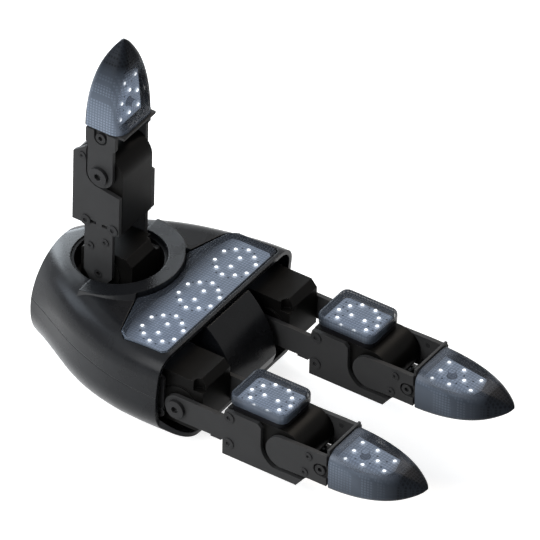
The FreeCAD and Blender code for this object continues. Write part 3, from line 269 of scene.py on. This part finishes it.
# Studio: floor (metres), world, and softboxes with their direction from the hand, distance,
# size, power in watts and tint.
FLOOR_HALF_M = 4.0
FLOOR_SEEN = 0.8
PAPER_DARK = (0.60, 0.60, 0.60)
PAPER_LIGHT = (0.63, 0.63, 0.63)
WORLD_TINT = (0.85, 0.92, 1.0)
WORLD_STRENGTH = 0.09
SOFTBOXES = {
    "front_left": ((-0.25, -0.80, 0.54), 650, (560, 460), 4.9, (0.98, 0.99, 1.0)),
    "cool_left": ((-0.90, -0.22, 0.38), 650, (200, 300), 1.1, (0.78, 0.88, 1.0)),
    "rim_back": ((-0.80, 0.52, 0.28), 700, (440, 260), 4.8, (0.85, 0.93, 1.0)),
    "overhead": ((0.0, 0.62, 0.78), 700, (320, 200), 2.2, (1.0, 0.88, 0.76)),
}


def colour(values):
    return (*values, 1.0)


def metres(values):
    return tuple(value * MM for value in values)


def middle_of(node):
    low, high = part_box(node)
    return (low + high) * 0.5


# Node trees

class Tree:
    """A node tree, emptied, with short ways to add nodes to it."""

    def __init__(self, tree):
        self.tree = tree
        self.tree.nodes.clear()

    def add(self, kind, inputs=None, **settings):
        node = self.tree.nodes.new(kind)
        for key, value in settings.items():
            setattr(node, key, value)
        for key, value in (inputs or {}).items():
            self.put(value, node.inputs[key])
        return node

    def put(self, value, socket):
        if isinstance(value, bpy.types.NodeSocket):
            self.tree.links.new(value, socket)
        else:
            socket.default_value = value

    def math(self, operation, *values, clamp=False):
        node = self.add("ShaderNodeMath", operation=operation, use_clamp=clamp)
        for number, value in enumerate(values):
            self.put(value, node.inputs[number])
        return node.outputs["Value"]

    def seen(self):
        """1 on the way to the camera, straight, in a reflection or through a cover, else 0."""
        path = self.add("ShaderNodeLightPath").outputs
        ray = self.math("MAXIMUM", path["Is Camera Ray"], path["Is Transmission Ray"])
        return self.math("MAXIMUM", ray, path["Is Glossy Ray"])

    def choose(self, share, low, high):
        """Shader between those of two nodes."""
        node = self.add("ShaderNodeMixShader", {"Fac": share})
        self.put(low.outputs[0], node.inputs[1])
        self.put(high.outputs[0], node.inputs[2])
        return node.outputs[0]


class Graph(Tree):
    """A new material's node tree, with the places and the facing of its surface."""

    def __init__(self, name):
        self.material = bpy.data.materials.new(name)
        self.material.use_nodes = True
        super().__init__(self.material.node_tree)
        self.output = self.add("ShaderNodeOutputMaterial")
        spots = self.add("ShaderNodeTexCoord").outputs
        self.place = spots["Object"]
        self.facing = self.split(spots["Normal"])

    def split(self, vector):
        outputs = self.add("ShaderNodeSeparateXYZ", {"Vector": vector}).outputs
        return {axis: outputs[axis] for axis in AXES}

    def noise(self, scale, detail):
        inputs = {"Vector": self.place, "Scale": scale, "Detail": detail}
        return self.add("ShaderNodeTexNoise", inputs).outputs["Fac"]

    def spread(self, value, low, high, start=0.3, end=0.7):
        """From low to high as a value goes from start to end, by default those of a noise."""
        inputs = {
            "Value": value, "From Min": start, "From Max": end, "To Min": low, "To Max": high,
        }
        return self.add("ShaderNodeMapRange", inputs).outputs["Result"]

    def by_level(self, level, pair):
        return self.spread(level, *pair, 0.0, 1.0)

    def over_edge(self, distance, low, high, edge):
        return self.spread(distance, low, high, *metres(edge))

    def mix(self, share, low, high):
        """Colour between two, each of them a socket or three numbers."""
        node = self.add("ShaderNodeMix", data_type="RGBA")
        self.put(share, node.inputs["Factor"])
        for key, value in (("A", low), ("B", high)):
            socket = next(i for i in node.inputs if i.name == key and i.type == "RGBA")
            self.put(colour(value) if isinstance(value, tuple) else value, socket)
        return next(o for o in node.outputs if o.type == "RGBA")

    def edges(self, width):
        """Rounded normal and a mask of the edges that it rounds."""
        bevel = self.add("ShaderNodeBevel", {"Radius": width}, samples=BEVEL_SAMPLES)
        flat = self.add("ShaderNodeNewGeometry").outputs["Normal"]
        product = self.add("ShaderNodeVectorMath", operation="DOT_PRODUCT")
        self.put(bevel.outputs["Normal"], product.inputs[0])
        self.put(flat, product.inputs[1])
        mask = self.spread(product.outputs["Value"], 1.0, 0.0, *BEVEL_MASK)
        return bevel.outputs["Normal"], mask

    def bump(self, height, distance, normal=None):
        inputs = {"Height": height, "Distance": distance}
        if normal is not None:
            inputs["Normal"] = normal
        return self.add("ShaderNodeBump", inputs).outputs["Normal"]

    def lines(self, axis, pitch, width):
        """Mask of moulded lines that cross one axis at a pitch."""
        place = self.split(self.place)[axis]
        cell = self.math("FRACT", self.math("DIVIDE", place, pitch * MM))
        return self.math("LESS_THAN", cell, width / pitch)

    def nearest(self, u, v, spots):
        """Distance in metres to the nearest of the spots, each of them at both signs of v."""
        across = self.math("ABSOLUTE", v)
        best = None
        for spot_u, spot_v in spots:
            du = self.math("SUBTRACT", u, spot_u * MM)
            dv = self.math("SUBTRACT", across, spot_v * MM)
            squares = [self.math("MULTIPLY", d, d) for d in (du, dv)]
            length = self.math("SQRT", self.math("ADD", *squares))
            best = length if best is None else self.math("MINIMUM", best, length)
        return best

    def shader(self, inputs):
        node = self.add("ShaderNodeBsdfPrincipled", inputs)
        self.put(node.outputs["BSDF"], self.output.inputs["Surface"])


# Finishes

def solid_finish(
    name, dark, light, rough, grain, depth, gloss=0.3, edge=0.03, edge_width=0.25, metal=0.0
):
    """Moulded, anodised or painted surface: mottled colour, fine grain and lighter edges, partly
    worn and partly a painted highlight.
    """
    graph = Graph(name)
    cloud = graph.noise(*SOLID_CLOUD)
    body = graph.mix(graph.spread(cloud, 0.0, 1.0), dark, light)
    normal, mask = graph.edges(edge_width * MM)
    wear_and_highlight = graph.spread(graph.noise(*EDGE_WEAR_AND_HIGHLIGHT), *WEAR_AND_HIGHLIGHT_SHARE)
    # Lighter edge colour: partly worn, partly a painted highlight.
    rim = tuple(part + edge for part in light)
    fine = graph.noise(grain, GRAIN_DETAIL)
    graph.shader({
        "Base Color": graph.mix(graph.math("MULTIPLY", mask, wear_and_highlight), body, rim),
        "Metallic": metal,
        "Specular IOR Level": gloss,
        "Roughness": graph.spread(cloud, rough + ROUGH_LOW, rough + ROUGH_HIGH),
        "Normal": graph.bump(fine, depth * MM, normal),
    })
    return graph.material


def cover_finish(name, up, middle, along=None, base=0.0, pale=1.0):
    """Clear smoky cover with a fine moulded grid.

    It is clearest where it faces up. Painted shade darkens its far side, and a pad's cover at
    its rear, while its near side stays lighter; a thumb's side walls are painted lighter. A tip's
    cover runs along an axis from its base. It is frosted at the base, and painted shade darkens it
    from the end of its board on and low on a finger's sides.
    """
    graph = Graph(name)
    place = graph.split(graph.place)
    level = graph.spread(graph.facing[up], 0.0, 1.0, *UP_FACING)
    side = graph.math("SUBTRACT", 1.0, level)

    masks = [graph.lines(axis, GRID_PITCH, GRID_WIDTH) for axis in AXES if axis != up]
    flank = graph.math("MULTIPLY", graph.lines(up, GRID_PITCH, GRID_WIDTH), side)
    grid = graph.math("MAXIMUM", graph.math("MAXIMUM", *masks), flank)

    across = graph.math("SUBTRACT", place["Y"], middle.y)
    # Painted shade on the cover's far side.
    painted_shade = graph.math("MULTIPLY", graph.over_edge(across, 0.0, 1.0, FAR_SHADE_EDGE), side)
    veil = graph.by_level(level, COVER_VEIL_BY_LEVEL)
    shine = COVER_SHINE
    if along:
        far = graph.math("SUBTRACT", place[along], base)
        start = graph.by_level(level, metres(APEX_START_BY_LEVEL))
        fade = graph.by_level(level, metres(APEX_FADE_BY_LEVEL))
        # Painted shade at the tip's apex, where its hollow is dark.
        apex = graph.math("DIVIDE", graph.math("SUBTRACT", far, start), fade, clamp=True)
        frost = graph.over_edge(far, FROST_VEIL, 0.0, FROST_EDGE)
        rise = graph.math("SUBTRACT", place[up], middle[AXES.index(up)])
        # Painted shade low on a finger tip's sides.
        low_shade_depth = LOW_PAINTED_SHADE if up == "Z" else 0.0
        low = graph.math("MULTIPLY", graph.over_edge(rise, low_shade_depth, 0.0, LOW_SHADE_EDGE), side)
        added = graph.math("ADD", frost, graph.math("MULTIPLY", apex, APEX_SHADE_VEIL))
        veil = graph.math("ADD", veil, added)
        painted_shade = graph.math("MULTIPLY", painted_shade, graph.math("SUBTRACT", 1.0, frost))
        painted_shade = graph.math("MAXIMUM", painted_shade, graph.math("MAXIMUM", apex, low))
        shine = graph.spread(apex, COVER_SHINE, APEX_SHINE, 0.0, 1.0)
    else:
        # Painted shade at the rear of a pad's cover.
        behind = graph.math("SUBTRACT", place["X"], middle.x)
        rear = graph.over_edge(behind, REAR_PAINTED_SHADE, 0.0, REAR_SHADE_EDGE)
        painted_shade = graph.math("MAXIMUM", painted_shade, graph.math("MULTIPLY", rear, side))

    # Side wall colour; a thumb's is painted lighter, as lit from the front.
    wall = tuple(part * pale for part in COVER_SIDE)
    # Wall colour, a little lighter facing up (painted light), darkened by the painted shade.
    shade = graph.mix(painted_shade, graph.mix(level, wall, COVER_TOP), COVER_PAINTED_SHADE)
    # Grid lines darken with the painted shade.
    line = graph.mix(painted_shade, GRID_PALE, GRID_DARK)
    lining = graph.math("MULTIPLY", grid, graph.by_level(level, GRID_SHARE_BY_LEVEL))
    cloud = graph.noise(*COVER_CLOUD)
    veil = graph.math("ADD", veil, graph.spread(cloud, -COVER_MOTTLE, COVER_MOTTLE))
    graph.shader({
        "Base Color": graph.mix(lining, shade, line),
        "Roughness": graph.spread(cloud, *COVER_ROUGH),
        "Specular IOR Level": shine,
        "Alpha": graph.math("ADD", veil, graph.math("MULTIPLY", grid, GRID_VEIL), clamp=True),
        "Normal": graph.bump(grid, GRID_RISE * MM),
    })
    return graph.material


def board_finish(name, u, v, lamps, marks, shadow=None, peg=None):
    """Pale printed board with a painted glow: painted light round its lamps, dark chips and holes,
    and faint tracks.

    u and v are functions that give the distances along and across the board. A painted shadow is
    such a function too, and a peg has a dark ring at its foot.
    """
    graph = Graph(name)
    place = graph.split(graph.place)
    spot_u = u(graph, place)
    spot_v = v(graph, place)
    cloud = graph.noise(*BOARD_CLOUD)
    body = graph.mix(graph.spread(cloud, 0.0, 1.0), BOARD_DARK, BOARD_LIGHT)
    tracks = [graph.lines(axis, TRACK_PITCH, TRACK_WIDTH) for axis in "XY"]
    track = graph.math("MULTIPLY", graph.math("MAXIMUM", *tracks), TRACK_SHARE)
    body = graph.mix(track, body, TRACK_SHADE)
    # Painted light round the lamps.
    painted_halo = graph.over_edge(graph.nearest(spot_u, spot_v, lamps), HALO_SHARE, 0.0, HALO_EDGE)
    body = graph.mix(graph.math("MULTIPLY", painted_halo, painted_halo), body, HALO_PAINTED_LIGHT)
    mark = graph.over_edge(graph.nearest(spot_u, spot_v, marks), MARK_SHARE, 0.0, MARK_EDGE)
    body = graph.mix(mark, body, MARK_SHADE)
    if shadow:
        body = graph.mix(shadow(graph, place), body, SHADOW_SHADE)
    if peg:
        foot = graph.nearest(spot_u, spot_v, [peg])
        ring = graph.math("ABSOLUTE", graph.math("SUBTRACT", foot, PEG_FOOT_RADIUS * MM))
        body = graph.mix(graph.over_edge(ring, PEG_SHARE, 0.0, PEG_EDGE), body, PEG_SHADE)
    graph.shader({
        "Base Color": body,
        "Roughness": graph.spread(cloud, *BOARD_ROUGH),
        "Normal": graph.bump(cloud, BOARD_RISE * MM),
        # The board glows in its own colour: painted light.
        "Emission Color": body,
        "Emission Strength": BOARD_PAINTED_GLOW,
    })
    return graph.material


def from_point(axis, zero):
    """Distance along an axis from a point, for board_finish."""
    def value(graph, place):
        return graph.math("SUBTRACT", place[axis], zero)
    return value


def folded(axis, zero):
    """Distance along an axis from a point to both sides, for board_finish."""
    def value(graph, place):
        return graph.math("ABSOLUTE", graph.math("SUBTRACT", place[axis], zero))
    return value


def palm_groups(graph, place):
    """Distance across the palm from the middle of the nearest of its lamp groups."""
    pitch = PALM_LAMP_PITCH * MM
    number = graph.math("ROUND", graph.math("DIVIDE", place["Y"], pitch))
    return graph.math("SUBTRACT", place["Y"], graph.math("MULTIPLY", number, pitch))


def palm_rear(graph, place):
    """Painted shadow on the rear edge of the palm board, beside the hub."""
    return graph.over_edge(place["X"], 1.0, 0.0, PALM_REAR_EDGE)


def lamp_finish():
    """Lamp under its own small lens: white light, a little weaker towards its rim."""
    graph = Graph("lamp_white")
    rim = graph.add("ShaderNodeLayerWeight", {"Blend": LAMP_RIM_BLEND}).outputs["Facing"]
    graph.shader({
        "Base Color": colour(LAMP_BODY),
        "Roughness": LAMP_ROUGH,
        "Emission Color": colour(LAMP_LIGHT),
        "Emission Strength": graph.spread(rim, LAMP_GLOW, LAMP_RIM_GLOW, *LAMP_RIM),
    })
    return graph.material


FINISHES = {slot: solid_finish(slot, **values) for slot, values in SOLIDS.items()}
LAMP_WHITE = lamp_finish()


def tip_finish(name, slot, finger):
    """Material of a tip's cover or board, laid out from its middle joint."""
    joint = PLACE_OF[MIDDLE_JOINT[finger]]
    up, along, pale = ("X", "Z", THUMB_PAINTED_LIGHT) if finger == "thumb" else ("Z", "X", 1.0)
    base = joint[AXES.index(along)] + TIP_BASE * MM
    if slot == "clear_cover":
        return cover_finish(name, up, joint, along, base, pale)
    u, v = from_point(along, base), from_point("Y", joint.y)
    return board_finish(name, u, v, TIP_LAMPS, TIP_MARKS, peg=TIP_PEG)


def node_finish(name):
    """Material of a CAD node. Covers and boards get one of their own, laid out from their place."""
    slot = SLOT_OF[name]
    if slot in FINISHES:
        return FINISHES[slot]
    finger = name.split("_")[0]
    if "_tip_" in name:
        return tip_finish(name, slot, finger)
    middle = middle_of(name)
    if slot == "clear_cover":
        return cover_finish(name, "Z", middle)
    if finger == "palm":
        u = folded("X", PALM_LAMP_X * MM)
        return board_finish(name, u, palm_groups, PALM_LAMPS, PALM_MARKS, palm_rear)
    u, v = folded("X", middle.x), from_point("Y", middle.y)
    return board_finish(name, u, v, PAD_LAMPS, PAD_MARKS)


# Pieces made here

def link(name, data):
    """New object with its data, in the scene."""
    item = bpy.data.objects.new(name, data)
    bpy.context.scene.collection.objects.link(item)
    return item


def new_piece(name, mesh, material):
    """New object from a bmesh, which is freed, with one material."""
    data = bpy.data.meshes.new(name)
    mesh.to_mesh(data)
    mesh.free()
    data.materials.append(material)
    return link(name, data)


def add_band(mesh, below, above):
    """Faces between two rows of points that run round."""
    count = len(below)
    faces = []
    for spot in range(count):
        after = (spot + 1) % count
        faces.append(mesh.faces.new((below[spot], below[after], above[after], above[spot])))
    return faces


def middle_joint(finger):
    """Place of a finger's middle joint, and the turn from a finger tip's frame to its own."""
    return PLACE_OF[MIDDLE_JOINT[finger]], THUMB_TURN if finger == "thumb" else NO_TURN


def both_signs(spots):
    return sorted({(a * u, b * v) for u, v in spots for a in (1, -1) for b in (1, -1)})


def add_lens(mesh, centre, turn):
    """Low dome of a lamp: rings from its rim to its top, closed above and below."""
    rings = []
    for ring in range(LAMP_RINGS):
        angle = QUARTER_TURN * ring / LAMP_RINGS
        radius = LAMP_RADIUS * math.cos(angle)
        height = LAMP_HIGH * math.sin(angle)
        row = []
        for side in range(LAMP_SIDES):
            around = math.tau * side / LAMP_SIDES
            local = Vector((radius * math.cos(around), radius * math.sin(around), height))
            row.append(mesh.verts.new(centre + turn @ (local * MM)))
        rings.append(row)
    for low, high in zip(rings, rings[1:]):
        add_band(mesh, low, high)
    top = mesh.verts.new(centre + turn @ (Vector((0.0, 0.0, LAMP_HIGH)) * MM))
    for side in range(LAMP_SIDES):
        mesh.faces.new((rings[-1][side], rings[-1][(side + 1) % LAMP_SIDES], top))
    mesh.faces.new(list(reversed(rings[0])))


def lamp_piece(name, body, centres, turn):
    mesh = bmesh.new()
    for centre in centres:
        add_lens(mesh, centre, turn)
    piece = new_piece(name, mesh, LAMP_WHITE)
    piece.data.shade_smooth()
    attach(piece, body)


def palm_lamps():
    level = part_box("palm_pad_board")[1].z
    centres = []
    for group in (-1, 0, 1):
        for u, v in both_signs(PALM_LAMPS):
            x = PALM_LAMP_X + u
            y = PALM_LAMP_PITCH * group + v
            centres.append(Vector((x * MM, y * MM, level)))
    lamp_piece("palm_pad_lamps", "palm", centres, NO_TURN)


def pad_lamps(finger):
    board = f"{finger}_pad_board"
    middle = middle_of(board)
    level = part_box(board)[1].z
    spots = both_signs(PAD_LAMPS)
    centres = [Vector((middle.x + u * MM, middle.y + v * MM, level)) for u, v in spots]
    lamp_piece(f"{finger}_pad_lamps", f"{finger}_link", centres, NO_TURN)


def tip_lamps(finger):
    start, turn = middle_joint(finger)
    level = TIP_BOARD_LEVEL + LAMP_BLOCK_HIGH
    spots = sorted({(u, sign * v) for u, v in TIP_LAMPS for sign in (1, -1)})
    centres = [start + turn @ (Vector((TIP_BASE + u, v, level)) * MM) for u, v in spots]
    lamp_piece(f"{finger}_tip_lamps", f"{finger}_tip", centres, turn)


def inner_bar(name, finger, body, slot, outline):
    """Bar between the side plates: an outline drawn across the finger, with softened edges."""
    start, turn = middle_joint(finger)
    mesh = bmesh.new()
    ends = []
    for across in (-INNER_HALF, INNER_HALF):
        spots = [start + turn @ (Vector((u, across, w)) * MM) for u, w in outline]
        ends.append([mesh.verts.new(spot) for spot in spots])
    add_band(mesh, *ends)
    mesh.faces.new(list(reversed(ends[0])))
    mesh.faces.new(ends[1])
    bmesh.ops.recalc_face_normals(mesh, faces=mesh.faces)
    piece = new_piece(name, mesh, FINISHES[slot])
    bevel = piece.modifiers.new("round", "BEVEL")
    bevel.width = INNER_ROUND * MM
    bevel.segments = 2
    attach(piece, body)


def rounded_row(mesh, low, high, inset, level):
    """Row of points round a rectangle with round corners, drawn in by an inset."""
    radius = (PAD_CORNER - inset) * MM
    corner = PAD_CORNER * MM
    sides_x = (high.x - corner, low.x + corner)
    sides_y = (high.y - corner, low.y + corner)
    row = []
    for quarter, (x, y) in enumerate(((0, 0), (1, 0), (1, 1), (0, 1))):
        for step in range(CORNER_STEPS + 1):
            angle = QUARTER_TURN * (quarter + step / CORNER_STEPS)
            along = sides_x[x] + radius * math.cos(angle)
            across = sides_y[y] + radius * math.sin(angle)
            row.append(mesh.verts.new((along, across, level)))
    return row


def pad_shell(finger):
    """Clear shell of a pad: open below, with a rounded upper edge."""
    node = f"{finger}_pad_cover"
    low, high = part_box(node)
    room = Vector((0.0, ARM_ROOM * MM, 0.0))
    low = low + room
    high = high - room
    # Rows from the inner ceiling down to the flat rim, and from there up to the outer face.
    steps = [(PAD_WALL, high.z - PAD_WALL * MM), (PAD_WALL, low.z), (0.0, low.z)]
    for step in range(CORNER_STEPS + 1):
        angle = QUARTER_TURN * step / CORNER_STEPS
        lift = PAD_EDGE * (math.sin(angle) - 1.0)
        steps.append((PAD_EDGE * (1.0 - math.cos(angle)), high.z + lift * MM))
    mesh = bmesh.new()
    rows = [rounded_row(mesh, low, high, inset, level) for inset, level in steps]
    rim = rows[2]
    for below, above in zip(rows, rows[1:]):
        for face in add_band(mesh, below, above):
            face.smooth = above is not rim
    mesh.faces.new(list(reversed(rows[0])))
    mesh.faces.new(rows[-1])
    bmesh.ops.recalc_face_normals(mesh, faces=mesh.faces)
    piece = new_piece(f"{node}_shell", mesh, node_finish(node))
    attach(piece, f"{finger}_link")
    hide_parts(node)


# Studio

def add_floor():
    """Pale floor that shows white where it is seen, and keeps a faint shadow of the hand."""
    half = FLOOR_HALF_M
    low = CAD_BOX[0].z
    mesh = bpy.data.meshes.new("floor")
    corners = [(-half, -half, low), (half, -half, low), (half, half, low), (-half, half, low)]
    mesh.from_pydata(corners, [], [(0, 1, 2, 3)])
    floor = link("floor", mesh)
    graph = Graph("floor")
    cloud = graph.spread(graph.noise(*PAPER_CLOUD), 0.0, 1.0)
    paper = graph.mix(cloud, PAPER_DARK, PAPER_LIGHT)
    matte = graph.add("ShaderNodeBsdfDiffuse", {"Color": paper})
    glow = graph.add("ShaderNodeEmission", {"Color": colour(WHITE), "Strength": FLOOR_SEEN})
    both = graph.add("ShaderNodeAddShader")
    graph.put(matte.outputs[0], both.inputs[0])
    graph.put(glow.outputs[0], both.inputs[1])
    graph.put(graph.choose(graph.seen(), matte, both), graph.output.inputs["Surface"])
    mesh.materials.append(graph.material)


def set_world():
    """Soft cool studio all round, seen as plain white, also in metal and through the covers."""
    world = bpy.data.worlds.new("studio")
    bpy.context.scene.world = world
    world.use_nodes = True
    tree = Tree(world.node_tree)
    output = tree.add("ShaderNodeOutputWorld")
    inputs = {"Color": colour(WORLD_TINT), "Strength": WORLD_STRENGTH}
    soft = tree.add("ShaderNodeBackground", inputs)
    white = tree.add("ShaderNodeBackground", {"Color": colour(WHITE)})
    tree.put(tree.choose(tree.seen(), soft, white), output.inputs["Surface"])


def add_softbox(name, direction, distance, size, power, tint):
    """Rectangular lamp in a direction from the hand, turned towards it."""
    data = bpy.data.lights.new(name, "AREA")
    data.shape = "RECTANGLE"
    data.size, data.size_y = metres(size)
    data.energy = power
    data.color = tint
    lamp = link(name, data)
    middle = (CAD_BOX[0] + CAD_BOX[1]) * 0.5
    way = Vector(direction).normalized()
    lamp.location = middle + way * distance * MM
    lamp.rotation_mode = "QUATERNION"
    lamp.rotation_quaternion = way.to_track_quat("Z", "Y")


def add_camera():
    data = bpy.data.cameras.new("camera")
    data.lens = LENS
    data.sensor_width = SENSOR
    camera = link("camera", data)
    back = Vector((
        math.sin(AZIMUTH) * math.cos(ELEVATION),
        -math.cos(AZIMUTH) * math.cos(ELEVATION),
        math.sin(ELEVATION),
    ))
    distance = VIEW_WIDTH * MM * LENS / SENSOR
    camera.location = Vector(TARGET) * MM + back * distance
    camera.rotation_mode = "QUATERNION"
    level = (-back).to_track_quat("-Z", "Y")
    camera.rotation_quaternion = level @ Matrix.Rotation(ROLL, 3, "Z").to_quaternion()
    data.clip_start = CLIP_START_M
    data.clip_end = 2 * distance
    bpy.context.scene.camera = camera


for node_name, node in NODES.items():
    node.data.materials.clear()
    node.data.materials.append(node_finish(node_name))

palm_lamps()
for finger_name in FINGERS:
    pad_lamps(finger_name)
    pad_shell(finger_name)
# Dark filler pieces stand in for the shade in a finger's gaps.
for finger_name in TIPS:
    tip_lamps(finger_name)
    inner_bar(f"{finger_name}_shade_tray", finger_name, f"{finger_name}_link", "motor_black", SHADE_TRAY)
for finger_name in FINGERS:
    inner_bar(f"{finger_name}_shade_web", finger_name, f"{finger_name}_tip", "plate_grey", SHADE_WEB)

add_camera()
add_floor()
set_world()
for box_name, box_values in SOFTBOXES.items():
    add_softbox(box_name, *box_values)

bpy.context.scene.view_settings.view_transform = "Standard"
